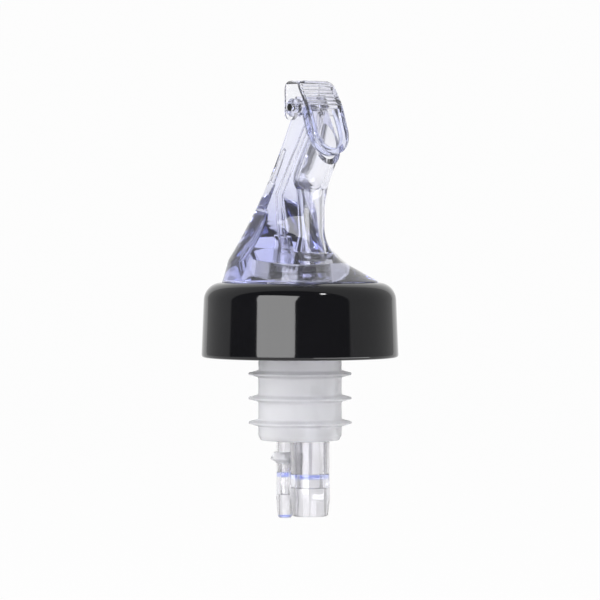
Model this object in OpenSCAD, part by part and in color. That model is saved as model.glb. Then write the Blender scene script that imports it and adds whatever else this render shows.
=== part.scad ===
// Measured liquor pourer: finned stopper, collar, clear spout, flap cap, metering tube and air tube.
// Origin on the stopper's axis at the middle fin. +Z is up, +X is the pouring side.

/* [Stopper] */
// Radius of the stopper's core
core_r = 8.95; // [8.6:0.05:9.4]
// Wall of the core
core_wall = 0.9; // [0.6:0.05:1.1]
// Height of the core below the middle fin
core_drop = 9; // [8:0.5:12]
// Floor of the core, which steadies the tubes
core_floor = 2; // [1:0.25:2.5]
// Chamfer at the bottom of the core
core_chamfer = 0.5; // [0.2:0.1:0.8]
// Radius of the fin tips
fin_r = 11.1; // [10.4:0.05:12]
// Height between fins
fin_pitch = 5.25; // [4:0.25:6]
// Thickness of a fin at the core
fin_root = 1.5; // [1:0.1:2]
// Thickness of a fin's tip
fin_tip = 0.35; // [0.2:0.05:0.5]
// Radius of the stopper's flange, which seats on the bottle's lip
lip_r = 14.5; // [12.5:0.5:16]
// Thickness of the stopper's flange
lip_h = 2; // [1:0.25:3]

/* [Collar] */
// Height of the collar's top above the middle fin
seat_h = 24.9; // [24:0.1:28]
// Largest radius of the collar
collar_r = 21.2; // [20:0.1:24]
// Height of the collar
collar_h = 16.1; // [12:0.1:17]
// Radius of the round at the collar's top edge
collar_round = 3.9; // [2.5:0.1:4.2]
// Radius of the round at the collar's bottom edge
collar_edge = 0.7; // [0.3:0.1:0.9]
// How much the collar narrows from bottom to top
collar_draft = 0.5; // [0:0.1:1]
// Wall of the collar's skirt
collar_wall = 2; // [1.5:0.1:2.5]
// Thickness of the collar's top
collar_top = 2.4; // [1.5:0.1:3]

/* [Base plug] */
// Radius of the plug's head inside the spout
plug_r = 9.3; // [8.8:0.1:9.8]
// Height of the plug's head
plug_h = 2.9; // [2.5:0.1:3.4]
// Length of the plug's stem below the collar's top
stem_h = 9; // [6:0.5:12]
// Thickness of the gasket on the plug's head
gasket_h = 0.6; // [0.4:0.1:0.8]

/* [Tubes] */
// Distance of the metering tube's axis from the stopper's axis
chamber_x = 3; // [2.6:0.05:3.05]
// Outer radius of the metering tube
chamber_r = 4.2; // [4:0.05:4.3]
// Wall of the metering tube
chamber_wall = 0.75; // [0.6:0.05:0.8]
// Height of the metering tube's top above the collar
chamber_top = 6; // [5:0.1:6.5]
// Distance of the air tube's axis from the stopper's axis
breather_x = 4.6; // [4.3:0.05:5]
// Outer radius of the air tube
breather_r = 1.8; // [1.75:0.05:2]
// Wall of the air tube
breather_wall = 0.5; // [0.4:0.05:0.5]
// Height of the air tube's top above the collar
breather_top = 8.5; // [7.5:0.5:10]
// Depth of both tubes' lower ends below the middle fin
tube_drop = 16.1; // [15:0.1:20]
// Radius of the soft ring on the air tube
ring_r = 3.1; // [2.6:0.05:3.2]
// Height of the soft ring
ring_h = 2.4; // [1.5:0.1:3]
// Depth of the soft ring's top below the middle fin
ring_drop = 11.8; // [11:0.1:12.5]
// Width of the soft ring's flat top
ring_land = 0.5; // [0.3:0.05:0.8]

/* [End pieces] */
// Length of the metering end piece below its tube
metering_h = 9.1; // [7:0.1:12]
// Radius of the metering end piece's hole
metering_hole_r = 2.2; // [1.6:0.1:2.4]
// Length of the air end piece below its tube
tip_h = 9.9; // [7:0.1:12]
// Radius of the air end piece's hole
tip_hole_r = 0.75; // [0.5:0.05:0.9]
// Length of the metering end piece's spigot, on which the lower ball rests
metering_spigot_h = 8; // [6:0.25:9]
// Length of the air end piece's spigot, on which the check ball rests
tip_spigot_h = 2.1; // [1.5:0.1:3]
// Lip left round the metering end piece's wide hole
metering_lip = 0.3; // [0.2:0.05:0.5]
// Lip left round the air end piece's wide hole
tip_lip = 0.2; // [0.15:0.05:0.3]
// Depth at which the metering end piece's hole widens
metering_step = 3; // [2:0.25:5]
// Depth at which the air end piece's hole widens
tip_step = 4.8; // [3:0.1:6]
// Chamfer at the bottom of both end pieces
end_chamfer = 0.25; // [0.1:0.05:0.4]
// How far both end pieces swell past their tubes
end_swell = 0.12; // [0:0.02:0.2]
// How far both end pieces narrow towards the bottom
end_taper = 0.3; // [0:0.05:0.4]

/* [Balls] */
// Radius of the two balls in the metering tube
ball_r = 3; // [2.85:0.05:3.1]
// Radius of the check ball in the air tube
check_r = 1.15; // [1.1:0.01:1.2]
// Gap under a ball and between balls
ball_gap = 0.12; // [0.1:0.01:0.3]

/* [Spout] */
// Radius of the spout's base on the collar
flange_r = 16.8; // [16:0.1:17]
// Height of the upright edge at the back of the base
flange_h = 4.75; // [3:0.25:6]
// Lean of the spout's back from upright
back_lean = 26.2; // [24:0.1:26.5]
// Radius of the spout's back at the head
web_r = 2; // [1.75:0.05:2.5]
// Height over which the back narrows
web_h = 30; // [28:0.5:33]
// Radius of the throat above the metering tube
throat_r = 3.12; // [3:0.02:3.5]
// Radius of the pouring end
mouth_r = 4; // [3.7:0.05:4.05]
// Lean of the pouring end from upright
pour_lean = 30; // [28:0.5:32]
// Height at which the pouring end begins to lean
bend_h = 21.2; // [20.5:0.1:22]
// Radius of the bend in the spout's front
bend_round = 20; // [14:0.5:24]
// Height of the flare above the collar
flare_h = 6.63; // [6.4:0.05:7.2]
// Slope of the flare from upright
flare_lean = 65; // [62:0.5:66]
// Radius of the fillet above the flare
flare_round = 8.5; // [6:0.25:9]
// Radius of the pouring passage in the throat
pour_r = 2.2; // [1.8:0.05:2.3]
// Radius of the pouring passage in the leaning end
mouth_bore_r = 3; // [2.4:0.1:3.1]
// Height of the ball's cone seat
seat_cone_h = 4; // [3:0.1:5]
// Step from the metering tube's bore to the wide end of the cone seat
seat_step = 0.1; // [0.05:0.05:0.2]
// Height of the passage's bend above the bend in the spout's front
pour_lag = 0.9; // [0.5:0.1:1.2]
// Radius of the air passage
vent_r = 1; // [0.8:0.05:1.05]
// Height at which the air passage begins to lean
vent_bend_h = 18.6; // [18.3:0.1:19]
// Wall behind the moulded pocket
pocket_wall = 1.1; // [1:0.05:1.2]
// Height of the pocket's lowest step
pocket_low_h = 13.8; // [12:0.1:15]
// Height of the pocket's middle step
pocket_mid_h = 20.9; // [18:0.1:22]
// Height of the pocket's top
pocket_top_h = 28; // [25:0.5:29]
// Radius of the pocket's lowest step
pocket_low_r = 1.5; // [1.2:0.05:1.6]
// Radius of the pocket's middle step
pocket_mid_r = 0.95; // [0.8:0.05:1.05]
// Radius of the pocket's top step
pocket_top_r = 0.7; // [0.6:0.05:0.8]
// Overlap between the pocket's steps
pocket_lap = 0.4; // [0.3:0.05:0.6]
// Height of the spout's head above the hinge, before it is cut to the cap
head_rise = 2.4; // [2:0.1:2.6]
// Wall of the hinge barrel round its bore
barrel_wall = 1.1; // [0.9:0.05:1.1]

/* [Flap cap] */
// Distance of the hinge from the stopper's axis
hinge_x = 2.2; // [2:0.05:2.4]
// Height of the hinge above the collar
hinge_h = 37.4; // [37:0.1:37.8]
// Radius of the hinge pins
pin_r = 0.8; // [0.6:0.05:0.9]
// Length of a hinge pin
pin_len = 2.9; // [2.4:0.1:3.2]
// Width of the cap
cap_w = 10.8; // [10.8:0.1:12]
// Wall of the cap
cap_wall = 1.05; // [0.9:0.05:1.05]
// Depth of the cap's rim and lower face together
cap_depth = 2; // [1.8:0.05:2.05]
// Tilt of the cap's lower face from upright
face_tilt = 17.8; // [17:0.1:18.5]
// Tilt of the ridged thumb face from upright
thumb_tilt = 29; // [27:0.5:31]
// Length of the cap's lower face
face_len = 10.8; // [10.4:0.1:11.4]
// Distance of the lower face from the hinge
face_off = 5.17; // [5.1:0.01:5.3]
// Height of the cap's top above the hinge
cap_rise = 5.8; // [5.6:0.1:6.2]
// Radius of the rounds along the cap's top
crown_r = 2; // [1:0.1:2.2]
// Distance of the cheek's back edge from the hinge
cheek_back = 1.5; // [1.45:0.05:1.7]
// Height of the cap's knee above the hinge
knee_h = 0.4; // [0.2:0.1:0.6]
// Depth of the cheeks' round ends below the hinge
cheek_drop = 1.2; // [1:0.05:1.4]
// Width of the rim round the cap's lower face
face_rim = 1.3; // [1.1:0.1:1.6]
// Depth of the lower face inside its rim
face_sink = 0.45; // [0.2:0.05:0.5]
// Distance of the sunk face's top edge from the knee
face_brim = 0.6; // [0.4:0.1:1]
// Number of thumb ridges
ridge_count = 7; // [4:1:8]
// Radius of a thumb ridge
ridge_r = 0.3; // [0.15:0.05:0.35]
// Distance of the ridges' ends from the cap's sides
ridge_margin = 0.4; // [0.2:0.1:0.8]

/* [Fits] */
// Clearance of pieces that are pushed together
push_fit = 0.05; // [0.03:0.01:0.08]
// Radial clearance of a hinge pin in the spout
pin_fit = 0.05; // [0.02:0.01:0.09]
// Clearance between the cap and the spout
cap_gap = 0.3; // [0.2:0.05:0.4]

/* [Hidden] */
$fn = 64;
eps = 0.05;
big = 60;
loft_sides = 56;
loft_rings = 31;
arc_steps = 10;
fin_count = 3;
back_power = 2.08;
ring_power = 1.35;

bore_r = core_r - core_wall;
stem_r = bore_r - push_fit;
collar_hole_r = stem_r + push_fit;
chamber_in = chamber_r - chamber_wall;
breather_in = breather_r - breather_wall;
recess_r = plug_r + push_fit;
recess_h = plug_h + gasket_h;
clear_tint = [0.80, 0.83, 0.97, 0.45];
milky = [0.83, 0.83, 0.85, 0.9];
steel = [0.72, 0.73, 0.75];
black = [0.07, 0.07, 0.08];

// Where the balls rest
function rest_h(r, hole_r) = sqrt(r * r - hole_r * hole_r) + ball_gap;
lower_ball_z = metering_spigot_h - tube_drop + rest_h(ball_r, metering_hole_r);
upper_ball_z = lower_ball_z + 2 * ball_r + ball_gap;
check_ball_z = tip_spigot_h - tube_drop + rest_h(check_r, tip_hole_r);

// Spout heights where the flare's fillet and the bend start and end
flare_v = flare_h + flare_round * tan(flare_lean / 2);
flare_s = flare_h - flare_round * tan(flare_lean / 2) * cos(flare_lean);
bend_s = bend_h - bend_round * tan(pour_lean / 2);
bend_e = bend_h + bend_round * tan(pour_lean / 2) * cos(pour_lean);
head_top = hinge_h + head_rise;

// Cap corners in the plane of symmetry, measured from the hinge
function lean_dir(a) = [sin(a), -cos(a)];
face_n = [cos(face_tilt), sin(face_tilt)];
thumb_n = [cos(thumb_tilt), sin(thumb_tilt)];
knee = [(face_off - knee_h * face_n[1]) / face_n[0], knee_h];
cap_toe = knee + face_len * lean_dir(face_tilt);
cap_brow = [knee[0] - (cap_rise - knee_h) * tan(thumb_tilt), cap_rise];
thumb_len = norm(knee - cap_brow);
thumb_off = knee * thumb_n;
heel = cap_toe - cap_depth * face_n;
cheek_h = -cheek_drop;
cheek_front = [(face_off - cap_depth - cheek_h * face_n[1]) / face_n[0], cheek_h];

// Outline of the spout at a height above the collar: a front circle and a back circle, wrapped together
function flare(t) = min(flange_r - throat_r,
    t < flare_s ? (flare_h - t) * tan(flare_lean)
    : t < flare_v ? flare_round - sqrt(flare_round * flare_round - pow(flare_v - t, 2))
    : 0);
function bend(t) = t < bend_s ? 0
    : t < bend_e ? bend_round - sqrt(bend_round * bend_round - pow(t - bend_s, 2))
    : (t - bend_h) * tan(pour_lean);
function swell(t) = (mouth_r - throat_r) * min(1, max(0, (t - bend_s) / (bend_e - bend_s)));
function front_r(t) = throat_r + flare(t) + swell(t);
function front_x(t) = chamber_x * (1 - flare(t) / (flange_r - throat_r)) + bend(t);
function back_edge(t) = -flange_r + max(0, t - flange_h) * tan(back_lean);
function back_r(t) = web_r + (flange_r - web_r) * pow(max(0, 1 - t / web_h), back_power);
function back_x(t) = back_edge(t) + back_r(t);
function wrap(t, a) = front_x(t) * cos(a) + front_r(t) >= back_x(t) * cos(a) + back_r(t)
    ? [front_x(t) + front_r(t) * cos(a), front_r(t) * sin(a), t]
    : [back_x(t) + back_r(t) * cos(a), back_r(t) * sin(a), t];
function ring_level(k) = head_top * pow(k / loft_rings, ring_power);

// Quarter round from one angle to another
function arc(x, y, r, a0, a1) =
    [for (k = [0:arc_steps]) let (a = a0 + (a1 - a0) * k / arc_steps) [x + r * cos(a), y + r * sin(a)]];

module at_collar() {
    translate([0, 0, seat_h]) children();
}

module at_hinge() {
    translate([hinge_x, 0, seat_h + hinge_h]) children();
}

// Lays an outline in the plane of symmetry and gives it a width across
module across(w) {
    rotate([90, 0, 0]) translate([0, 0, -w / 2]) linear_extrude(w) children();
}

module rod(p, q, r) {
    d = q - p;
    translate([p[0], 0, p[1]]) rotate([0, atan2(d[0], d[1]), 0]) cylinder(r = r, h = norm(d));
}

module spout_skin() {
    points = [for (k = [0:loft_rings], s = [0:loft_sides - 1]) wrap(ring_level(k), 360 * s / loft_sides)];
    sides = [for (k = [0:loft_rings - 1], s = [0:loft_sides - 1])
        let (a = k * loft_sides + s)
        let (b = k * loft_sides + (s + 1) % loft_sides)
        each [[a, a + loft_sides, b + loft_sides], [a, b + loft_sides, b]]];
    floor_face = [for (s = [0:loft_sides - 1]) s];
    roof_face = [for (s = [loft_sides - 1:-1:0]) loft_rings * loft_sides + s];
    polyhedron(points, concat([floor_face], sides, [roof_face]));
}

// Moulded pocket in the spout's back: three steps, each narrower than the one below
module pocket() {
    levels = [0, pocket_low_h, pocket_mid_h, pocket_top_h];
    radii = [pocket_low_r, pocket_mid_r, pocket_top_r];
    for (k = [0:2]) {
        low = k == 0
            ? [-flange_r + 2 * pocket_wall + radii[0], -eps]
            : [back_edge(levels[k]) + pocket_wall + radii[k], levels[k] - pocket_lap];
        high = [back_edge(levels[k + 1]) + pocket_wall + radii[k], levels[k + 1]];
        rod(low, high, radii[k]);
    }
}

module spout_passages() {
    cone_r = chamber_in - seat_step;
    lean = big * [sin(pour_lean), cos(pour_lean)];
    pour_bend = [chamber_x, bend_h + pour_lag];
    vent_bend = [-breather_x, vent_bend_h];
    translate([0, 0, -eps]) cylinder(r = recess_r, h = recess_h + eps);
    translate([chamber_x, 0, 0]) cylinder(r = chamber_r + push_fit, h = chamber_top);
    translate([chamber_x, 0, chamber_top - eps]) cylinder(r1 = cone_r, r2 = pour_r, h = seat_cone_h + eps);
    rod([chamber_x, chamber_top + seat_cone_h - eps], pour_bend, pour_r);
    translate([pour_bend[0], 0, pour_bend[1]]) sphere(r = mouth_bore_r);
    rod(pour_bend, pour_bend + lean, mouth_bore_r);
    translate([-breather_x, 0, 0]) cylinder(r = breather_r + push_fit, h = breather_top);
    rod([-breather_x, breather_top - eps], vent_bend, vent_r);
    translate([vent_bend[0], 0, vent_bend[1]]) sphere(r = vent_r);
    rod(vent_bend, vent_bend + lean, vent_r);
    pocket();
}

module spout_body() {
    mouth_off = face_off - cap_depth - cap_gap / 2;
    barrel_r = pin_r + barrel_wall;
    barrel_w = cap_w - 2 * cap_wall - 2 * cap_gap;
    color(clear_tint) difference() {
        union() {
            at_collar() spout_skin();
            at_hinge() across(barrel_w) circle(r = barrel_r);
        }
        at_collar() spout_passages();
        at_hinge() across(big) circle(r = pin_r + pin_fit);
        at_hinge() rotate([0, -face_tilt, 0])
            translate([mouth_off, -big / 2, -big / 2]) cube([big, big, big]);
        at_hinge() rotate([0, -thumb_tilt, 0])
            translate([thumb_off - cap_wall - cap_gap, -big / 2, -big / 2]) cube([big, big, big]);
    }
}

module cap_side() {
    ear_r = cheek_back;
    polygon([[-cheek_back, 0], [-cheek_back, cap_rise], cap_brow, knee, cap_toe, heel, cheek_front,
        [ear_r, cheek_h], [ear_r, 0]]);
    translate([0, cheek_h]) circle(r = ear_r);
    translate([-ear_r, cheek_h]) square([2 * ear_r, -cheek_h]);
}

module cap_hollow() {
    roof = cap_rise - cap_wall;
    face_in = face_off - cap_wall;
    thumb_in = thumb_off - cap_wall;
    knee_in = [[face_n[0], face_n[1]], [thumb_n[0], thumb_n[1]]];
    det = knee_in[0][0] * knee_in[1][1] - knee_in[0][1] * knee_in[1][0];
    corner = [(face_in * knee_in[1][1] - thumb_in * knee_in[0][1]) / det,
        (knee_in[0][0] * thumb_in - knee_in[1][0] * face_in) / det];
    brow = [(thumb_in - roof * thumb_n[1]) / thumb_n[0], roof];
    toe = corner + 2 * face_len * lean_dir(face_tilt);
    polygon([brow, corner, toe, [-big, toe[1]], [-big, roof]]);
}

// Rounded outline of the cap's lower face, a width across and a height up from the toe's round
module tongue_outline(w, h) {
    toe_v = -cap_toe[0] * sin(face_tilt) + cap_toe[1] * cos(face_tilt);
    translate([0, toe_v + cap_w / 2]) circle(d = w);
    translate([-w / 2, toe_v + cap_w / 2]) square([w, h]);
}

// Sweeps an outline along the lower face's normal, from a distance off the hinge
module along_face(off) {
    at_hinge() rotate([0, -face_tilt, 0]) rotate([90, 0, 90])
        translate([0, 0, off]) linear_extrude(big) children();
}

// Round-topped outline of the cap as seen from the pouring side
module crown_outline() {
    flat_w = cap_w - 2 * crown_r;
    translate([-cap_w / 2, -big]) square([cap_w, big + cap_rise - crown_r]);
    translate([-flat_w / 2, -big]) square([flat_w, big + cap_rise]);
    for (side = [-1, 1])
        translate([side * flat_w / 2, cap_rise - crown_r]) circle(r = crown_r);
}

module flap_cap() {
    pitch = thumb_len / ridge_count;
    down = (knee - cap_brow) / thumb_len;
    color(clear_tint) difference() {
        intersection() {
            union() {
                intersection() {
                    at_hinge() across(cap_w) cap_side();
                    along_face(-big / 2) tongue_outline(cap_w, big);
                }
                for (k = [0:ridge_count - 1]) {
                    spot = cap_brow + (k + 0.5) * pitch * down;
                    at_hinge() across(cap_w - 2 * ridge_margin) translate(spot) circle(r = ridge_r, $fn = 24);
                }
            }
            at_hinge() rotate([90, 0, 90]) translate([0, 0, -big / 2]) linear_extrude(big) crown_outline();
        }
        intersection() {
            at_hinge() across(cap_w - 2 * cap_wall) cap_hollow();
            along_face(-big / 2) tongue_outline(cap_w - 2 * cap_wall, big);
        }
        along_face(face_off - face_sink)
            tongue_outline(cap_w - 2 * face_rim, face_len - face_brim - cap_w / 2);
        at_hinge() across(2 * cap_w) circle(r = pin_r);
    }
}

module hinge_pins() {
    color(black) for (side = [-1, 1])
        at_hinge() translate([0, side * (cap_w - pin_len) / 2, 0]) across(pin_len) circle(r = pin_r);
}

module gasket() {
    color([0.75, 0.76, 0.8, 0.8]) at_collar() difference() {
        translate([0, 0, plug_h]) cylinder(r = plug_r - push_fit, h = gasket_h);
        translate([chamber_x, 0, 0]) cylinder(r = chamber_r + push_fit, h = big);
        translate([-breather_x, 0, 0]) cylinder(r = breather_r + push_fit, h = big);
    }
}

module base_plug() {
    color(clear_tint) at_collar() difference() {
        union() {
            cylinder(r = plug_r, h = plug_h);
            translate([0, 0, -stem_h]) cylinder(r = stem_r, h = stem_h + eps);
        }
        translate([chamber_x, 0, -big / 2]) cylinder(r = chamber_r + push_fit, h = big);
        translate([-breather_x, 0, -big / 2]) cylinder(r = breather_r + push_fit, h = big);
    }
}

module collar() {
    low = -collar_h;
    top_r = collar_r - collar_draft;
    in_r = collar_r - collar_wall;
    color(black) at_collar() rotate_extrude($fn = 128) polygon(concat(
        [[collar_hole_r, 0]],
        arc(top_r - collar_round, -collar_round, collar_round, 90, 0),
        arc(collar_r - collar_edge, low + collar_edge, collar_edge, 0, -90),
        [[in_r, low], [in_r - collar_draft, -collar_top], [collar_hole_r, -collar_top]]));
}

module stopper() {
    lip_z = seat_h - collar_top - lip_h;
    fins = [for (k = [0:fin_count - 1]) let (z = (k - (fin_count - 1) / 2) * fin_pitch)
        each [[core_r, z - fin_root / 2], [fin_r, z - fin_tip / 2], [fin_r, z + fin_tip / 2],
            [core_r, z + fin_root / 2]]];
    color(milky) difference() {
        rotate_extrude($fn = 96) polygon(concat(
            [[0, -core_drop], [core_r - core_chamfer, -core_drop], [core_r, -core_drop + 2 * core_chamfer]],
            fins,
            [[core_r, lip_z], [lip_r, lip_z], [lip_r, lip_z + lip_h], [0, lip_z + lip_h]]));
        translate([0, 0, core_floor - core_drop]) cylinder(r = bore_r, h = big);
        translate([chamber_x, 0, -big / 2]) cylinder(r = chamber_r + push_fit, h = big);
        translate([-breather_x, 0, -big / 2]) cylinder(r = breather_r + push_fit, h = big);
    }
}

module tube(x, r, wall, top) {
    translate([x, 0, -tube_drop]) difference() {
        cylinder(r = r, h = tube_drop + seat_h + top);
        translate([0, 0, -eps]) cylinder(r = r - wall, h = big + seat_h);
    }
}

module chamber_tube() {
    color(clear_tint) tube(chamber_x, chamber_r, chamber_wall, chamber_top);
}

module breather_tube() {
    color(clear_tint) tube(-breather_x, breather_r, breather_wall, breather_top);
}

// End piece of a tube: a spigot inside the tube, a shoulder, a slight swell and a tapered end
module end_piece(x, r, in_r, spigot_h, h, hole_r, wide_r, step) {
    swell_z = -0.55 * h;
    foot_r = r - end_taper;
    translate([x, 0, -tube_drop]) rotate_extrude() polygon([
        [hole_r, spigot_h], [in_r - push_fit, spigot_h], [in_r - push_fit, 0], [r, 0],
        [r, 0.2 * swell_z], [r + end_swell, swell_z], [foot_r, end_chamfer - h], [foot_r - end_chamfer, -h],
        [wide_r, -h], [wide_r, -step], [hole_r, -step]]);
}

module metering_cap() {
    color(clear_tint) end_piece(chamber_x, chamber_r, chamber_in, metering_spigot_h, metering_h,
        metering_hole_r, chamber_in - metering_lip, metering_step);
}

module breather_tip() {
    color(clear_tint) end_piece(-breather_x, breather_r, breather_in, tip_spigot_h, tip_h,
        tip_hole_r, breather_in - tip_lip, tip_step);
}

module breather_ring() {
    color(milky) translate([-breather_x, 0, -ring_drop - ring_h]) rotate_extrude() {
        inner = breather_r + push_fit;
        polygon([[inner, 0], [ring_r, 0.4 * ring_h], [ring_r, 0.5 * ring_h], [inner + ring_land, ring_h],
            [inner, ring_h]]);
    }
}

module shutoff_ball() {
    color(steel) translate([chamber_x, 0, upper_ball_z]) sphere(r = ball_r);
}

module timing_ball() {
    color(steel) translate([chamber_x, 0, lower_ball_z]) sphere(r = ball_r);
}

module breather_ball() {
    color(steel) translate([-breather_x, 0, check_ball_z]) sphere(r = check_r);
}

spout_body();
flap_cap();
hinge_pins();
gasket();
base_plug();
collar();
stopper();
chamber_tube();
metering_cap();
breather_tube();
breather_tip();
breather_ring();
shutoff_ball();
timing_ball();
breather_ball();
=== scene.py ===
import math
import bpy
import bmesh
from mathutils import Matrix, Vector


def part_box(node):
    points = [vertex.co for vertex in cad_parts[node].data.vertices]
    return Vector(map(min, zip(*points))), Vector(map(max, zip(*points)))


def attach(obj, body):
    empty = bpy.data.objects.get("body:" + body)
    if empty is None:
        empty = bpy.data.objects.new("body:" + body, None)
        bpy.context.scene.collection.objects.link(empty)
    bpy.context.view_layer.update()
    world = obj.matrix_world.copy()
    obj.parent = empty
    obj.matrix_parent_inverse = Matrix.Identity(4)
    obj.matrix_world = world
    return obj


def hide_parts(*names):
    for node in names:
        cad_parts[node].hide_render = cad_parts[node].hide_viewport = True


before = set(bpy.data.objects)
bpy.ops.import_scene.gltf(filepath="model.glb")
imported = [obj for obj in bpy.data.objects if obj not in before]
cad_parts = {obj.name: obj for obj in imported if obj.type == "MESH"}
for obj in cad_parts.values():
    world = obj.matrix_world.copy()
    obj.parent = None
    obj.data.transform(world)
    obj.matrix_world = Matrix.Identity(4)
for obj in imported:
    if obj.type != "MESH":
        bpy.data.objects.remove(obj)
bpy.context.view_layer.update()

# Stopper
# The soft cork that grips the bottle's neck: one milky polyethylene moulding with three thin
# fins, a flange that sits on the bottle's lip and a floor with a hole for each tube.
MM = 0.001  # metres in a millimetre: the sizes in this script are in millimetres
TURN = 192  # sides of a turned solid
SEAM = 0.0005  # points of a cut mesh that lie this close are merged
PAST = 1.0  # how far a cutter passes what it cuts
CREASE = math.radians(35)  # edges that bend more than this stay sharp


class Wire:
    """A socket of a material's nodes, with arithmetic that adds Math nodes."""

    def __init__(self, tree, socket=None):
        self.tree = tree
        self.socket = socket

    def add(self, kind, settings=None, sockets=None, out=0):
        node = self.tree.nodes.new(kind)
        for key, value in (settings or {}).items():
            setattr(node, key, value)
        for key, value in (sockets or {}).items():
            if isinstance(value, Wire):
                self.tree.links.new(value.socket, node.inputs[key])
            else:
                node.inputs[key].default_value = value
        return Wire(self.tree, node.outputs[out] if node.outputs else None)

    def math(self, operation, a, b):
        return self.add("ShaderNodeMath", {"operation": operation}, {0: a, 1: b})

    def __add__(self, other):
        return self.math("ADD", self, other)

    def __mul__(self, other):
        return self.math("MULTIPLY", self, other)

    def __sub__(self, other):
        return self.math("SUBTRACT", self, other)

    def __rsub__(self, other):
        return self.math("SUBTRACT", other, self)

    def __gt__(self, other):
        return self.math("GREATER_THAN", self, other)

    def __lt__(self, other):
        return self.math("LESS_THAN", self, other)

    __radd__ = __add__
    __rmul__ = __mul__


def new_finish(name):
    """A new material without nodes, and a wire that adds nodes to it."""
    material = bpy.data.materials.new(name)
    material.use_nodes = True
    material.node_tree.nodes.clear()
    return material, Wire(material.node_tree)


def link(name, data):
    """A new object in the scene."""
    thing = bpy.data.objects.new(name, data)
    bpy.context.scene.collection.objects.link(thing)
    return thing


def settle(shape, name):
    """A mesh of the shape's faces, all turned outward."""
    bmesh.ops.recalc_face_normals(shape, faces=shape.faces)
    mesh = bpy.data.meshes.new(name)
    shape.to_mesh(mesh)
    shape.free()
    return mesh


def worked(blank, *tools):
    """The mesh of a blank with its modifiers applied, after which the blank and its tools go."""
    graph = bpy.context.evaluated_depsgraph_get()
    result = bpy.data.meshes.new_from_object(blank.evaluated_get(graph))
    for spent in (blank, *tools):
        bpy.data.objects.remove(spent)
    return result


def soften(outline, steps=5, share=0.48):
    """Rounds the corners of a closed outline of (r, z) or (r, z, rounding) points.

    No rounding takes up more than the given share of a side.
    """
    soft = []
    for i, corner in enumerate(outline):
        rounding = corner[2] if len(corner) > 2 else 0
        here = Vector(corner[:2])
        before = Vector(outline[i - 1][:2]) - here
        after = Vector(outline[(i + 1) % len(outline)][:2]) - here
        if rounding == 0:
            soft.append(here)
            continue
        start = here + before.normalized() * min(rounding, share * before.length)
        end = here + after.normalized() * min(rounding, share * after.length)
        for k in range(steps + 1):
            u = k / steps
            soft.append((1 - u) ** 2 * start + 2 * u * (1 - u) * here + u ** 2 * end)
    return soft


def lathe(outline, x=0.0):
    """A closed solid turned about an upright axis at x, from a closed outline."""
    shape = bmesh.new()
    turns = [2 * math.pi * k / TURN for k in range(TURN)]
    rings = []
    for r, z in outline:
        if r < SEAM:
            rings.append([shape.verts.new((x * MM, 0, z * MM))] * TURN)
        else:
            rings.append([shape.verts.new(((x + r * math.cos(a)) * MM, r * math.sin(a) * MM, z * MM))
                          for a in turns])
    for i, ring in enumerate(rings):
        above = rings[(i + 1) % len(rings)]
        for k in range(TURN):
            n = (k + 1) % TURN
            corners = list(dict.fromkeys([ring[k], ring[n], above[n], above[k]]))
            if len(corners) > 2:
                shape.faces.new(corners)
    return settle(shape, "turned")


def carve(mesh, cutters, operation="DIFFERENCE"):
    """The mesh with each cutter mesh taken away, kept or joined, as a new mesh."""
    blank = link("blank", mesh)
    tools = [link("tool", cutter) for cutter in cutters]
    for tool in tools:
        step = blank.modifiers.new("cut", "BOOLEAN")
        step.operation = operation
        step.solver = "EXACT"
        step.object = tool
    result = worked(blank, *tools)
    shape = bmesh.new()
    shape.from_mesh(result)
    bmesh.ops.remove_doubles(shape, verts=shape.verts, dist=SEAM * MM)
    bmesh.ops.dissolve_degenerate(shape, edges=shape.edges, dist=SEAM * MM)
    shape.to_mesh(result)
    shape.free()
    return result


def fit(name, mesh, material, slot, body, *nodes):
    """Puts a finished mesh in place of CAD nodes, on the body that carries it."""
    piece = link(name, mesh)
    mesh.materials.clear()
    mesh.materials.append(material)
    mesh.polygons.foreach_set("use_smooth", [True] * len(mesh.polygons))
    mesh.set_sharp_from_angle(angle=CREASE)
    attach(piece, body)
    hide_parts(*nodes)


def rod(radius, p, q, sides=96, radius_end=None):
    """A closed round bar between two points, straight or tapered."""
    shape = bmesh.new()
    start, end = Vector(p), Vector(q)
    bmesh.ops.create_cone(shape, cap_ends=True, segments=sides, radius1=radius * MM,
                          radius2=(radius if radius_end is None else radius_end) * MM,
                          depth=(end - start).length * MM)
    mesh = settle(shape, "bar")
    turn = (end - start).to_track_quat("Z", "Y").to_matrix().to_4x4()
    mesh.transform(Matrix.Translation((start + end) / 2 * MM) @ turn)
    return mesh


def tube_holes(low, high):
    """Cutters for the holes that the two tubes pass through, between two heights."""
    return [rod(r + push_fit, (x, 0, low - PAST), (x, 0, high + PAST))
            for x, r in ((chamber_x, chamber_r), (breather_x, breather_r))]


milky, start = new_finish("milky_polyethylene")
place = start.add("ShaderNodeTexCoord", out="Object")
cloud = start.add("ShaderNodeTexNoise", None, {"Vector": place, "Scale": 160.0, "Detail": 3.0})
grain = start.add("ShaderNodeTexNoise", None, {"Vector": place, "Scale": 2600.0, "Detail": 2.0})
milk = start.add("ShaderNodeMix", {"data_type": "RGBA"},
                 {0: cloud, 6: (0.88, 0.88, 0.90, 1), 7: (0.93, 0.93, 0.95, 1)}, out=2)
skin = start.add("ShaderNodeBump", None, {"Height": grain, "Strength": 0.12, "Distance": 0.00003})
body_shader = start.add("ShaderNodeBsdfPrincipled", None, {
    "Base Color": milk, "Roughness": 0.6 + 0.1 * cloud, "Normal": skin, "IOR": 1.15,
    "Transmission Weight": 0.75})
start.add("ShaderNodeOutputMaterial", None, {"Surface": body_shader})

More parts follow.
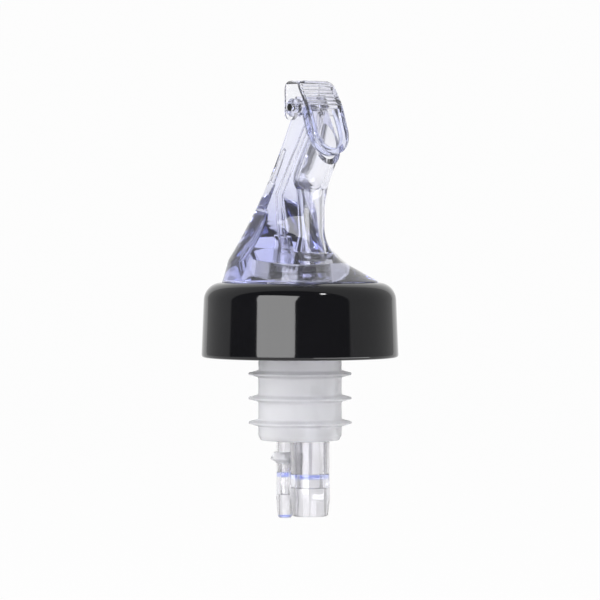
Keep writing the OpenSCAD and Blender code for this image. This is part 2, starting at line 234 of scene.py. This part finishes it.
stopper_low, stopper_high = [c.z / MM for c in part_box("stopper")]
lip_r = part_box("stopper")[1].x / MM
core_r, core_wall, core_floor = 8.95, 0.9, 2.0
foot_in, foot_h = 0.5, 1.0
fin_r, fin_pitch, fin_root, fin_tip = 11.1, 5.25, 1.5, 0.35
lip_h = 2.0
root_round, tip_round, edge_round, foot_round = 0.35, 0.12, 0.3, 0.4
chamber_x, chamber_r = 3.0, 4.2
breather_x, breather_r = -4.6, 1.8
push_fit = 0.05
fins = []
for k in (-1, 0, 1):
    z = k * fin_pitch
    fins += [(core_r, z - fin_root / 2, root_round), (fin_r, z - fin_tip / 2, tip_round),
             (fin_r, z + fin_tip / 2, tip_round), (core_r, z + fin_root / 2, root_round)]
bore_r = core_r - core_wall
floor_top = stopper_low + core_floor
lip_low = stopper_high - lip_h
foot = [(0, stopper_low), (core_r - foot_in, stopper_low, edge_round),
        (core_r, stopper_low + foot_h, foot_round)]
lip = [(core_r, lip_low, edge_round), (lip_r, lip_low, edge_round), (lip_r, stopper_high, edge_round)]
inside = [(bore_r, stopper_high), (bore_r, floor_top), (0, floor_top)]
cork = lathe(soften(foot + fins + lip + inside))
cork = carve(cork, tube_holes(stopper_low, floor_top))
fit("finned_stopper", cork, milky, "milky_plastic", "pourer", "stopper")

# Collar
# The black cup that hides the bottle's lip, moulded in glossy styrene with a wide round at the top
# edge and a small one at the bottom; the plug's head clamps it on the stopper's flange.
gloss_black, start = new_finish("gloss_black_styrene")
place = start.add("ShaderNodeTexCoord", out="Object")
flow = start.add("ShaderNodeTexNoise", None, {"Vector": place, "Scale": 90.0, "Detail": 2.0})
dust = start.add("ShaderNodeTexNoise", None, {"Vector": place, "Scale": 1800.0, "Detail": 4.0})
ink = start.add("ShaderNodeMix", {"data_type": "RGBA"},
                {0: flow, 6: (0.002, 0.002, 0.003, 1), 7: (0.004, 0.004, 0.005, 1)}, out=2)
ripple = start.add("ShaderNodeBump", None, {"Height": flow, "Strength": 0.03, "Distance": 0.0004})
shell = start.add("ShaderNodeBsdfPrincipled", None, {
    "Base Color": ink, "Roughness": 0.045 + 0.05 * dust, "Normal": ripple, "IOR": 1.5})
start.add("ShaderNodeOutputMaterial", None, {"Surface": shell})

collar_low, collar_top = [c.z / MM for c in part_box("collar")]
collar_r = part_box("collar")[1].x / MM
collar_round, collar_edge, collar_draft, collar_wall, collar_roof = 3.9, 0.7, 0.5, 2.0, 2.4
collar_lip_round, collar_corner = 0.4, 0.8


def arc(radius, first, last, steps, x=0.0, y=0.0):
    """Points on a circle about (x, y), from one angle to another."""
    turns = [first + (last - first) * k / steps for k in range(steps + 1)]
    return [(x + radius * math.cos(a), y + radius * math.sin(a)) for a in turns]


collar_hole_r = bore_r
wall_top = collar_top - collar_round
round_x = collar_r - collar_draft - collar_round
round_arc = arc(collar_round, math.pi / 2, 0, 20, round_x, wall_top)
wall_lean = collar_draft / (wall_top - collar_low)
wall_line = [(collar_r - wall_lean * (z - collar_low), z)
             for z in (wall_top - collar_edge, collar_low + 2 * collar_edge)]
lining_r, ceiling = collar_r - collar_wall, collar_top - collar_roof
cup = lathe(soften(
    [(collar_hole_r, collar_top)] + round_arc + wall_line +
    [(collar_r, collar_low, collar_edge), (lining_r, collar_low, collar_lip_round),
     (lining_r - collar_draft, ceiling, collar_corner), (collar_hole_r, ceiling)]))
fit("black_collar", cup, gloss_black, "black_plastic", "pourer", "collar")

# Base plug and gasket
# The clear plug that closes the spout's underside: its head sits in the spout, its stem goes down
# through the collar into the stopper, and its two bores hold the tubes. A soft washer seals it.


def clear_finish(name, thin, thick, clarity, density, blue=None, where=None):
    """Clear moulded plastic with faint flow lines, a little haze and a tint that grows with depth.

    A mask, where, can paint light into one area's surface colour: blue, standing in for the blue edge
    light of clear plastic.
    """
    material, start = new_finish(name)
    place = start.add("ShaderNodeTexCoord", out="Object")
    flow = start.add("ShaderNodeTexNoise", None, {"Vector": place, "Scale": 120.0, "Detail": 2.0})
    haze = start.add("ShaderNodeTexNoise", None, {"Vector": place, "Scale": 700.0, "Detail": 3.0})
    ripple = start.add("ShaderNodeBump", None,
                       {"Height": flow, "Strength": 0.06, "Distance": 0.0004})
    tint = start.add("ShaderNodeMix", {"data_type": "RGBA"}, {0: flow, 6: thick, 7: thin}, out=2)
    # Painted light: the masked area's surface colour is mixed towards the blue edge light.
    if where:
        tint = start.add("ShaderNodeMix", {"data_type": "RGBA"},
                         {0: where(place), 6: tint, 7: blue}, out=2)
    resin = start.add("ShaderNodeBsdfPrincipled", None, {
        "Base Color": tint, "Roughness": 0.03 * haze, "Normal": ripple, "IOR": 1.52,
        "Transmission Weight": clarity})
    deep = start.add("ShaderNodeVolumeAbsorption", None,
                     {"Color": (0.2, 0.27, 0.95, 1), "Density": density})
    start.add("ShaderNodeOutputMaterial", None, {"Surface": resin, "Volume": deep})
    return material


clear_thin, clear_thick = (0.99, 0.99, 1, 1), (0.98, 0.98, 0.995, 1)
clear_clarity, clear_density = 0.97, 34.0
clear = clear_finish("clear_blue_styrene", clear_thin, clear_thick, clear_clarity, clear_density)

plug_low, plug_high = [c.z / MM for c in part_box("base_plug")]
plug_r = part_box("base_plug")[1].x / MM
stem_r = bore_r - push_fit
plug_round, plug_edge = 0.3, 0.15
plug = lathe(soften([(0, plug_low), (stem_r, plug_low, plug_round), (stem_r, collar_top),
                     (plug_r, collar_top, plug_edge), (plug_r, plug_high, plug_round), (0, plug_high)]))
plug = carve(plug, tube_holes(plug_low, plug_high))
fit("base_plug_clear", plug, clear, "clear_plastic", "pourer", "base_plug")

seal, start = new_finish("pale_silicone")
place = start.add("ShaderNodeTexCoord", out="Object")
cloud = start.add("ShaderNodeTexNoise", None, {"Vector": place, "Scale": 300.0})
pale = start.add("ShaderNodeMix", {"data_type": "RGBA"},
                 {0: cloud, 6: (0.72, 0.73, 0.8, 1), 7: (0.8, 0.81, 0.87, 1)}, out=2)
rubber = start.add("ShaderNodeBsdfPrincipled", None, {
    "Base Color": pale, "Roughness": 0.35 + 0.1 * cloud, "IOR": 1.41,
    "Subsurface Weight": 1.0, "Subsurface Radius": (0.002, 0.002, 0.002), "Subsurface Scale": 1.0})
start.add("ShaderNodeOutputMaterial", None, {"Surface": rubber})
air_gap = 0.03  # between clear pieces that touch, so that their faces don't coincide
seal_low, seal_high = [c.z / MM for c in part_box("gasket")]
seal_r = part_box("gasket")[1].x / MM
seal_round = 0.15
washer = lathe(soften([(0, seal_low + air_gap), (seal_r, seal_low + air_gap, seal_round),
                       (seal_r, seal_high - air_gap, seal_round), (0, seal_high - air_gap)]))
washer = carve(washer, tube_holes(seal_low, seal_high))
fit("gasket_washer", washer, seal, "soft_seal", "pourer", "gasket")

# Tubes and their end pieces
# Two clear extruded tubes pushed into the plug. The wide one meters the liquor, the narrow one lets
# air back in, and each has a moulded end piece whose spigot fits in the tube.
tube_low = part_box("chamber_tube")[0].z / MM
tube_thin, tube_thick = (0.9, 0.895, 0.91, 1), (0.86, 0.855, 0.87, 1)
tube_clarity, tube_density = 0.95, 12.0
tube_clear = clear_finish("clear_tube", tube_thin, tube_thick, tube_clarity, tube_density)
chamber_wall, breather_wall = 0.75, 0.5
tube_edge, tube_round = 0.1, 0.15
for name, node, x, r, wall in (("metering_tube", "chamber_tube", chamber_x, chamber_r, chamber_wall),
                               ("air_tube", "breather_tube", breather_x, breather_r, breather_wall)):
    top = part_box(node)[1].z / MM - air_gap
    pipe = lathe(soften([(r - wall, tube_low, tube_edge), (r, tube_low, tube_edge),
                         (r, top, tube_round), (r - wall, top, tube_round)]), x)
    fit(name, pipe, tube_clear, "clear_plastic", "pourer", node)

shoulder_h, rim_h = 1.1, 0.7
tip_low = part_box("breather_tip")[0].z / MM


def painted_shoulder_and_rim_light(place):
    """The shoulder below each tube's end and the air tube's lowest rim, where blue edge light is painted
    into the surface colour.
    """
    height = place.add("ShaderNodeSeparateXYZ", None, {"Vector": place}, out=2)
    shoulder = (height > (tube_low - shoulder_h) * MM) * (height < tube_low * MM)
    return shoulder + (height < (tip_low + rim_h) * MM)


# Painted light: this blue stands in for the light that runs along the clear edges, painted onto the end
# pieces' shoulders and the air tube's lowest rim.
painted_shoulder_edge_light = (0.62, 0.66, 0.93, 1)
end_clear = clear_finish("clear_with_painted_shoulder_light", tube_thin, tube_thick, tube_clarity, tube_density,
                         painted_shoulder_edge_light, painted_shoulder_and_rim_light)
end_swell, end_taper, end_chamfer = 0.12, 0.3, 0.25
neck_share, swell_share = 0.11, 0.55  # how far down the end piece its neck and its swell are
end_edge, end_round, seam_round, neck_round, swell_round, taper_round = 0.1, 0.15, 0.12, 0.3, 1.0, 0.2
for name, node, x, r, wall, hole, wide, step in (
        ("metering_end", "metering_cap", chamber_x, chamber_r, chamber_wall, 2.2, 3.15, 3.0),
        ("air_end", "breather_tip", breather_x, breather_r, breather_wall, 0.75, 1.1, 4.8)):
    low, shelf = [c.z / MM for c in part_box(node)]
    h = tube_low - low
    spigot_r = r - wall - push_fit
    foot_r = r - end_taper
    seam = tube_low - air_gap
    spigot = [(hole, shelf, end_edge), (spigot_r, shelf, end_round), (spigot_r, seam)]
    outside = [(r, seam, seam_round), (r, tube_low - neck_share * h, neck_round),
               (r + end_swell, tube_low - swell_share * h, swell_round),
               (foot_r, low + end_chamfer, taper_round), (foot_r - end_chamfer, low, end_round)]
    bore = [(wide, low, end_edge), (wide, tube_low - step, end_edge), (hole, tube_low - step, end_edge)]
    fit(name, lathe(soften(spigot + outside + bore), x), end_clear, "clear_plastic", "pourer", node)

# Soft ring on the air tube
# A thin flared ring of the same milky polyethylene as the stopper. It is a moulding of its own that
# is pushed up the air tube and grips it by its stretch.
ring_min, ring_max = [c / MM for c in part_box("breather_ring")]
ring_low, ring_top = ring_min.z, ring_max.z
ring_r = (ring_max.x - ring_min.x) / 2
ring_h = ring_top - ring_low
ring_in = breather_r + push_fit
brim_low, brim_high = ring_low + 0.4 * ring_h, ring_low + 0.5 * ring_h
ring_lip, brim_round, ring_round = 0.5, 0.15, 0.2
skirt = lathe(soften([(ring_in, ring_low), (ring_r, brim_low, brim_round),
                      (ring_r, brim_high, brim_round), (ring_in + ring_lip, ring_top, ring_round),
                      (ring_in, ring_top)]), breather_x)
fit("air_tube_ring", skirt, milky, "milky_plastic", "pourer", "breather_ring")

# Balls
# Polished stainless bearing balls: two in the metering tube, which end the shot when they reach the
# cone seat in the spout, and a small one in the air tube, which stops liquor leaving that way.
polished, start = new_finish("polished_stainless")
place = start.add("ShaderNodeTexCoord", out="Object")
buff = start.add("ShaderNodeTexNoise", None, {"Vector": place, "Scale": 3000.0, "Detail": 3.0})
metal = start.add("ShaderNodeBsdfPrincipled", None, {
    "Base Color": (0.72, 0.73, 0.75, 1), "Metallic": 1.0, "Roughness": 0.06 + 0.08 * buff})
start.add("ShaderNodeOutputMaterial", None, {"Surface": metal})

for name, node, body in (("shutoff_ball_steel", "shutoff_ball", "shutoff"),
                         ("timing_ball_steel", "timing_ball", "timing"),
                         ("breather_ball_steel", "breather_ball", "check")):
    low, high = [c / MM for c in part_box(node)]
    centre, r = (low + high) / 2, (high.z - low.z) / 2
    sphere = lathe(arc(r, -math.pi / 2, math.pi / 2, 48, 0, centre.z), centre.x)
    fit(name, sphere, polished, "steel", body, node)

# Spout
# One clear moulding: a round base on the collar that sweeps up into a leaning neck. Inside are the
# plug's recess, the tubes' sockets, the balls' cone seat, the pouring passage, the air passage
# and a stepped pocket that keeps the back wall thin.
seat = collar_top
flange_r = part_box("spout_body")[1].x / MM
flange_h, back_lean, web_r, web_h = 4.75, math.radians(26.2), 2.0, 30.0
throat_r, mouth_r, pour_lean = 3.12, 4.0, math.radians(30)
bend_h, bend_round, back_power = 21.2, 20.0, 2.08
flare_h, flare_lean, flare_round = 6.63, math.radians(65), 8.5
pour_r, mouth_bore_r, vent_r = 2.2, 3.0, 1.0
chamber_top, breather_top, vent_bend_h, seat_cone_h = 6.0, 8.5, 18.6, 4.0
pins_min, pins_max = [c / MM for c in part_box("hinge_pins")]
hinge_x, hinge_z = (pins_min.x + pins_max.x) / 2, (pins_min.z + pins_max.z) / 2
pin_r = (pins_max.x - pins_min.x) / 2
pin_fit = 0.05
head_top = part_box("spout_body")[1].z / MM - seat
flare_tangent = flare_round * math.tan(flare_lean / 2)
flare_start, flare_end = flare_h - flare_tangent * math.cos(flare_lean), flare_h + flare_tangent
bend_tangent = bend_round * math.tan(pour_lean / 2)
bend_start, bend_end = bend_h - bend_tangent, bend_h + bend_tangent * math.cos(pour_lean)


def flare(t):
    """How far the base spreads at a height above the collar: a cone with a round into the neck."""
    if t < flare_start:
        out = (flare_h - t) * math.tan(flare_lean)
    elif t < flare_end:
        out = flare_round - math.sqrt(flare_round ** 2 - (flare_end - t) ** 2)
    else:
        out = 0
    return min(flange_r - throat_r, out)


def bend(t):
    """How far the neck leans forward at a height above the collar."""
    if t < bend_start:
        return 0
    if t < bend_end:
        return bend_round - math.sqrt(bend_round ** 2 - (t - bend_start) ** 2)
    return (t - bend_h) * math.tan(pour_lean)


def back_edge(t):
    """Where the back of the spout is at a height above the collar."""
    return -flange_r + max(0, t - flange_h) * math.tan(back_lean)


def outline_at(t, sides):
    """The spout's section at a height above the collar: two circles, wrapped together."""
    swell = (mouth_r - throat_r) * min(1, max(0, (t - bend_start) / (bend_end - bend_start)))
    front_r = throat_r + flare(t) + swell
    front_x = chamber_x * (1 - flare(t) / (flange_r - throat_r)) + bend(t)
    back_r = web_r + (flange_r - web_r) * max(0, 1 - t / web_h) ** back_power
    back_x = back_edge(t) + back_r
    for k in range(sides):
        a = 2 * math.pi * k / sides
        ahead = front_x * math.cos(a) + front_r >= back_x * math.cos(a) + back_r
        x, r = (front_x, front_r) if ahead else (back_x, back_r)
        yield x + r * math.cos(a), r * math.sin(a)


def loft(rings, name):
    """A closed solid through rings of points, with a face over each end."""
    shape = bmesh.new()
    loops = [[shape.verts.new(Vector(point) * MM) for point in ring] for ring in rings]
    for low, high in zip(loops, loops[1:]):
        for k in range(len(low)):
            n = (k + 1) % len(low)
            shape.faces.new([low[k], low[n], high[n], high[k]])
    shape.faces.new(loops[0])
    shape.faces.new(loops[-1])
    return settle(shape, name)


def spout_skin(sides=180, rings=120, crowding=1.35):
    """The spout's outer skin, with its rings closer together near the base."""
    heights = [air_gap + (head_top - air_gap) * (k / rings) ** crowding for k in range(rings + 1)]
    return loft([[(x, y, seat + t) for x, y in outline_at(t, sides)] for t in heights], "skin")


def round_bar(radius, p, q, steps=24):
    """A bar from p to q, with a half ball beyond q."""
    length = (q - p).length
    mesh = lathe([(0, 0), (radius, 0)] + arc(radius, 0, math.pi / 2, steps, 0, length))
    turn = (q - p).to_track_quat("Z", "Y").to_matrix().to_4x4()
    mesh.transform(Matrix.Translation(p * MM) @ turn)
    return mesh


def bent_bar(radius, points, sides=96):
    """A bar through points on the plane of symmetry, mitred at each bend."""
    ways = [(b - a).normalized() for a, b in zip(points, points[1:])]
    normals = [Vector((way.z, 0, -way.x)) for way in ways]
    rings = []
    for point, before, after in zip(points, normals[:1] + normals, normals + normals[-1:]):
        mitre = (before + after) / (1 + before.dot(after))
        rings.append([point + x * mitre + Vector((0, y, 0))
                      for x, y in arc(radius, 0, 2 * math.pi, sides)[:-1]])
    return loft(rings, "passage")


def swept(edge, off, reach, tilt):
    """An outline across the spout's head, swept from a distance off the hinge at a tilt from level."""
    mesh = loft([[(u, y, v) for y, v in edge] for u in (off, off + reach)], "swept")
    at_hinge = Matrix.Translation((hinge_x * MM, 0, hinge_z * MM))
    mesh.transform(at_hinge @ Matrix.Rotation(-tilt, 4, "Y"))
    return mesh


cap_w = (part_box("flap_cap")[1].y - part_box("flap_cap")[0].y) / MM
cap_wall, cap_depth, cap_gap = 1.05, 2.0, 0.3
face_tilt, thumb_tilt = math.radians(17.8), math.radians(29)
face_len, face_off, cap_rise, cheek_back, knee_h, cheek_h = 10.8, 5.17, 5.8, 1.5, 0.4, -1.2
knee = Vector(((face_off - knee_h * math.sin(face_tilt)) / math.cos(face_tilt), knee_h))
thumb_off = knee.x * math.cos(thumb_tilt) + knee.y * math.sin(thumb_tilt)
slant = Vector((math.sin(pour_lean), 0, math.cos(pour_lean)))
FAR = 30.0  # well outside the part
lap = 0.1  # how far one passage runs into the next
pour_rise = 0.9  # the passage bends later than the neck
pour_bend = Vector((chamber_x, 0, seat + bend_h + pour_rise))
vent_bend = Vector((breather_x, 0, seat + vent_bend_h))
socket_top, vent_low = seat + chamber_top, seat + breather_top
cone_low_r, cone_top = chamber_r - chamber_wall - lap, socket_top + seat_cone_h
passages = [
    rod(plug_r + push_fit, (0, 0, seat - PAST), (0, 0, seal_high), 180),
    rod(chamber_r + push_fit, (chamber_x, 0, seat), (chamber_x, 0, socket_top)),
    rod(cone_low_r, (chamber_x, 0, socket_top - lap / 2), (chamber_x, 0, cone_top), radius_end=pour_r),
    rod(pour_r, (chamber_x, 0, cone_top - lap), pour_bend),
    round_bar(mouth_bore_r, pour_bend + FAR * slant, pour_bend),
    rod(breather_r + push_fit, (breather_x, 0, seat), (breather_x, 0, vent_low)),
    bent_bar(vent_r, [Vector((breather_x, 0, vent_low - lap)), vent_bend, vent_bend + FAR * slant]),
]
pocket_wall, pocket_lap = 1.1, 0.4
pocket_levels, pocket_radii = (0, 13.8, 20.9, 28), (1.5, 0.95, 0.7)
foot = Vector((-flange_r + 2 * pocket_wall + pocket_radii[0], 0, seat - lap / 2))
for low, high, r in zip(pocket_levels, pocket_levels[1:], pocket_radii):
    if low > 0:
        foot = Vector((back_edge(low) + pocket_wall + r, 0, seat + low - pocket_lap))
    tip = Vector((back_edge(high) + pocket_wall + r, 0, seat + high))
    passages.append(round_bar(r, foot, tip))
barrel_wall = 1.1
barrel_w = cap_w - 2 * cap_wall - 2 * cap_gap
barrel = rod(pin_r + barrel_wall, (hinge_x, -barrel_w / 2, hinge_z), (hinge_x, barrel_w / 2, hinge_z))
hinge_bore = rod(pin_r + pin_fit, (hinge_x, -cap_w, hinge_z), (hinge_x, cap_w, hinge_z))
block = [(-FAR, -FAR), (FAR, -FAR), (FAR, FAR), (-FAR, FAR)]
trims = [swept(block, face_off - cap_depth - cap_gap / 2, 2 * FAR, face_tilt),
         swept(block, thumb_off - cap_wall - cap_gap, 2 * FAR, thumb_tilt)]
spout = carve(spout_skin(), [barrel], "UNION")
spout = carve(spout, passages + [hinge_bore] + trims)
fit("clear_spout", spout, clear, "clear_plastic", "pourer", "spout_body")

# Flap cap
# The clear hinged cap that shuts the mouth: a tongue-shaped lower face with a rim, a ridged thumb
# face above it, and two cheeks that hold the hinge pins beside the spout's head.
down_face = Vector((math.sin(face_tilt), -math.cos(face_tilt)))
face_n = Vector((math.cos(face_tilt), math.sin(face_tilt)))
thumb_n = Vector((math.cos(thumb_tilt), math.sin(thumb_tilt)))
toe = knee + face_len * down_face
brow = Vector((knee.x - (cap_rise - knee_h) * math.tan(thumb_tilt), cap_rise))
heel = toe - cap_depth * face_n
tongue_centre = cap_w / 2 - toe.dot(down_face)
cheek_front = Vector(((face_off - cap_depth - cheek_h * face_n.y) / face_n.x, cheek_h))


def plate(outline, width):
    """An outline in the plane of symmetry, measured from the hinge, given a width across."""
    return loft([[(hinge_x + x, y, hinge_z + z) for x, z in outline]
                 for y in (-width / 2, width / 2)], "plate")


def crown():
    """The round-topped outline of the cap as seen from the pouring side, swept through it."""
    half = cap_w / 2
    edge = arc(crown_r, 0, math.pi / 2, 16, half - crown_r, cap_rise - crown_r)
    edge += [(-y, v) for y, v in reversed(edge)]
    edge += [(-half - SEAM, -FAR), (half + SEAM, -FAR)]
    return swept(edge, -FAR, 2 * FAR, 0)


def tongue(width, off=-FAR, rise=FAR):
    """The rounded outline of the lower face, swept along its normal from a distance off the hinge."""
    r = width / 2
    edge = arc(r, math.pi, 2 * math.pi, 48, 0, tongue_centre)
    edge += [(r, tongue_centre + rise), (-r, tongue_centre + rise)]
    return swept(edge, off, 2 * FAR, face_tilt)


def ease(mesh, width):
    """The mesh with its sharp edges rounded, as a new mesh."""
    blank = link("blank", mesh)
    step = blank.modifiers.new("ease", "BEVEL")
    step.width = width * MM
    step.segments = 3
    step.limit_method = "ANGLE"
    step.angle_limit = math.radians(40)
    return worked(blank)


back_round, brow_round, crown_r, cap_edge = 0.4, 0.8, 2.0, 0.3
ear = arc(cheek_back, 0, -math.pi, 24, 0, cheek_h)
side = soften([(-cheek_back, cap_rise, back_round), (*brow, brow_round),
               knee, toe, heel, cheek_front] + ear, steps=8)
roof = cap_rise - cap_wall
face_in, thumb_in = face_off - cap_wall, thumb_off - cap_wall
inner_knee = Vector((face_in * thumb_n.y - thumb_in * face_n.y,
                     face_n.x * thumb_in - thumb_n.x * face_in))
inner_knee /= face_n.x * thumb_n.y - face_n.y * thumb_n.x
inner_brow = Vector(((thumb_in - roof * thumb_n.y) / thumb_n.x, roof))
inner_toe = inner_knee + 2 * face_len * down_face
hollow = [inner_brow, inner_knee, inner_toe, (-FAR, inner_toe.y), (-FAR, roof)]
inner_w = cap_w - 2 * cap_wall
cap_core = carve(plate(hollow, inner_w), [tongue(inner_w)], "INTERSECT")
face_rim, face_sink, face_brim = 1.3, 0.45, 0.6
panel = tongue(cap_w - 2 * face_rim, face_off - face_sink, face_len - face_brim - cap_w / 2)
cap = carve(plate(side, cap_w), [tongue(cap_w)], "INTERSECT")
cap = carve(cap, [crown()], "INTERSECT")
cap = ease(carve(cap, [cap_core, panel]), cap_edge)
ridge_count, ridge_r, ridge_margin = 7, 0.3, 0.4
thumb_run = knee - brow
ridges = []
for k in range(ridge_count):
    spot = brow + thumb_run * (k + 0.5) / ridge_count
    over = max(0, spot.y + ridge_r - (cap_rise - crown_r))
    half = cap_w / 2 - crown_r + math.sqrt(max(0, crown_r ** 2 - over ** 2)) - ridge_margin
    ridges.append(rod(ridge_r, (hinge_x + spot.x, -half, hinge_z + spot.y),
                      (hinge_x + spot.x, half, hinge_z + spot.y), 24))
pin_bore = rod(pin_r, (hinge_x, -cap_w, hinge_z), (hinge_x, cap_w, hinge_z))
cap = carve(carve(cap, ridges, "UNION"), [pin_bore])


def painted_tongue_rim_light(place):
    """The thick rim round the lower face, where blue edge light is painted into the surface colour."""
    def along(x, z):
        return place.add("ShaderNodeVectorMath", {"operation": "DOT_PRODUCT"},
                         {0: place, 1: (x / MM, 0, z / MM)}, out="Value") - (hinge_x * x + hinge_z * z)
    across = place.add("ShaderNodeSeparateXYZ", None, {"Vector": place}, out=1) * (1 / MM)
    depth, rise = along(face_n.x, face_n.y), along(-down_face.x, -down_face.y)
    below = rise.math("MINIMUM", rise - tongue_centre, 0.0)
    near_edge = across * across + below * below > (cap_w / 2 - face_rim) ** 2
    return near_edge * (rise < knee.dot(-down_face)) * (depth > face_off - cap_depth)


# Painted light: this blue stands in for the light that runs round the tongue's thick rim, painted into
# the flap's surface colour.
painted_rim_edge_light = (0.76, 0.79, 0.97, 1)
rimmed_clear = clear_finish("clear_with_painted_rim_light", clear_thin, clear_thick, clear_clarity, clear_density,
                            painted_rim_edge_light, painted_tongue_rim_light)
fit("clear_flap", cap, rimmed_clear, "clear_plastic", "flap", "flap_cap")

# Hinge pins
# Two short black nylon pins with eased ends. Each is pressed through a cheek of the cap and turns
# in the bore across the spout's head.
pin_black, start = new_finish("black_nylon")
place = start.add("ShaderNodeTexCoord", out="Object")
grain = start.add("ShaderNodeTexNoise", None, {"Vector": place, "Scale": 2500.0})
nylon = start.add("ShaderNodeBsdfPrincipled", None, {
    "Base Color": (0.004, 0.004, 0.004, 1), "Roughness": 0.3 + 0.2 * grain})
start.add("ShaderNodeOutputMaterial", None, {"Surface": nylon})
pin_len, pin_edge = 2.9, 0.15
shape = bmesh.new()
for y in (-1, 1):
    bar = rod(pin_r, (hinge_x, y * (cap_w / 2 - pin_len), hinge_z), (hinge_x, y * cap_w / 2, hinge_z), 48)
    shape.from_mesh(ease(bar, pin_edge))
fit("hinge_pins_black", settle(shape, "pins"), pin_black, "pin_plastic", "flap", "hinge_pins")

# Sweep, soft boxes and camera
# A white paper sweep behind and under the pourer, in a room that is darker towards the camera, with
# a large soft box on the left, a low strip that fills the underside and a small lamp high on the
# right. The camera looks level, with the pouring side to the right. Sizes here are in metres.
floor_z = -0.06
view_azimuth = math.radians(45)
to_camera = Vector((math.sin(view_azimuth), -math.cos(view_azimuth), 0))
to_right = Vector((math.cos(view_azimuth), math.sin(view_azimuth), 0))
up = Vector((0, 0, 1))
middle = 0.0211 * up
sweep_front, sweep_back, sweep_curve, sweep_top, sweep_half = 0.65, -1.0, 0.4, 2.4, 0.95
sweep_line = [(sweep_front, 0)] + arc(sweep_curve, -math.pi / 2, -math.pi, 16, sweep_back, sweep_curve)
sweep_line += [(sweep_back - sweep_curve, sweep_top)]
shape = bmesh.new()
edges = [[shape.verts.new(to_camera * u + to_right * w + (floor_z + v) * up) for u, v in sweep_line]
         for w in (-sweep_half, sweep_half)]
for k in range(len(sweep_line) - 1):
    shape.faces.new([edges[0][k], edges[0][k + 1], edges[1][k + 1], edges[1][k]]).smooth = True
ground = settle(shape, "sweep")
sweep = link("sweep", ground)
paper, start = new_finish("white_paper")
rays = start.add("ShaderNodeLightPath")
seen = sum(Wire(rays.tree, rays.socket.node.outputs[kind])
           for kind in ("Is Camera Ray", "Is Glossy Ray", "Is Transmission Ray"))
matt = start.add("ShaderNodeBsdfDiffuse", None, {"Color": (0.85, 0.85, 0.85, 1)})
white = start.add("ShaderNodeEmission", None, {"Color": (1, 1, 1, 1), "Strength": 1.0})
mixed = start.add("ShaderNodeMixShader", None, {0: 0.97 * seen, 1: matt, 2: white})
start.add("ShaderNodeOutputMaterial", None, {"Surface": mixed})
ground.materials.append(paper)

world = bpy.data.worlds.new("studio")
bpy.context.scene.world = world
world.use_nodes = True
world.node_tree.nodes.clear()
start = Wire(world.node_tree)
dark_azimuth = view_azimuth - math.radians(14.5)
dark_side = (math.sin(dark_azimuth), -math.cos(dark_azimuth), 0)
ray = start.add("ShaderNodeTexCoord", out="Generated")
facing = start.add("ShaderNodeVectorMath", {"operation": "DOT_PRODUCT"},
                   {0: ray, 1: dark_side}, out="Value")
level = start.add("ShaderNodeMapRange", {"interpolation_type": "SMOOTHSTEP"},
                  {"Value": facing, "From Min": 0.22, "From Max": 0.28, "To Min": 0.55, "To Max": 0.1})
room = start.add("ShaderNodeBackground", None, {"Color": (1, 1, 1, 1), "Strength": level})
start.add("ShaderNodeOutputWorld", None, {"Surface": room})


def soft_box(name, place, width, height, power):
    """A rectangular lamp at a place seen from the pourer's middle, turned towards it."""
    lamp = bpy.data.lights.new(name, "AREA")
    lamp.shape = "RECTANGLE"
    lamp.size = width
    lamp.size_y = height
    lamp.energy = power
    box = link(name, lamp)
    box.location = middle + place
    box.rotation_euler = (-place).to_track_quat("-Z", "Y").to_euler()


soft_box("left_box", 0.7 * to_camera - 0.38 * to_right + 0.26 * up, width=0.73, height=0.7, power=9.3)
soft_box("low_fill", 0.13 * to_camera + 0.16 * to_right - 0.07 * up, width=0.3, height=0.04, power=0.22)
soft_box("high_lamp", 0.42 * to_camera + 0.3 * to_right + 0.61 * up, width=0.07, height=0.06, power=0.5)

camera_distance, camera_rise = 0.738, 0.0161
camera = bpy.data.cameras.new("camera")
camera.lens = 206
viewer = link("camera", camera)
viewer.location = middle + camera_distance * to_camera + camera_rise * up
viewer.rotation_euler = (middle - viewer.location).to_track_quat("-Z", "Y").to_euler()
bpy.context.scene.camera = viewer
bpy.context.scene.view_settings.view_transform = "Standard"
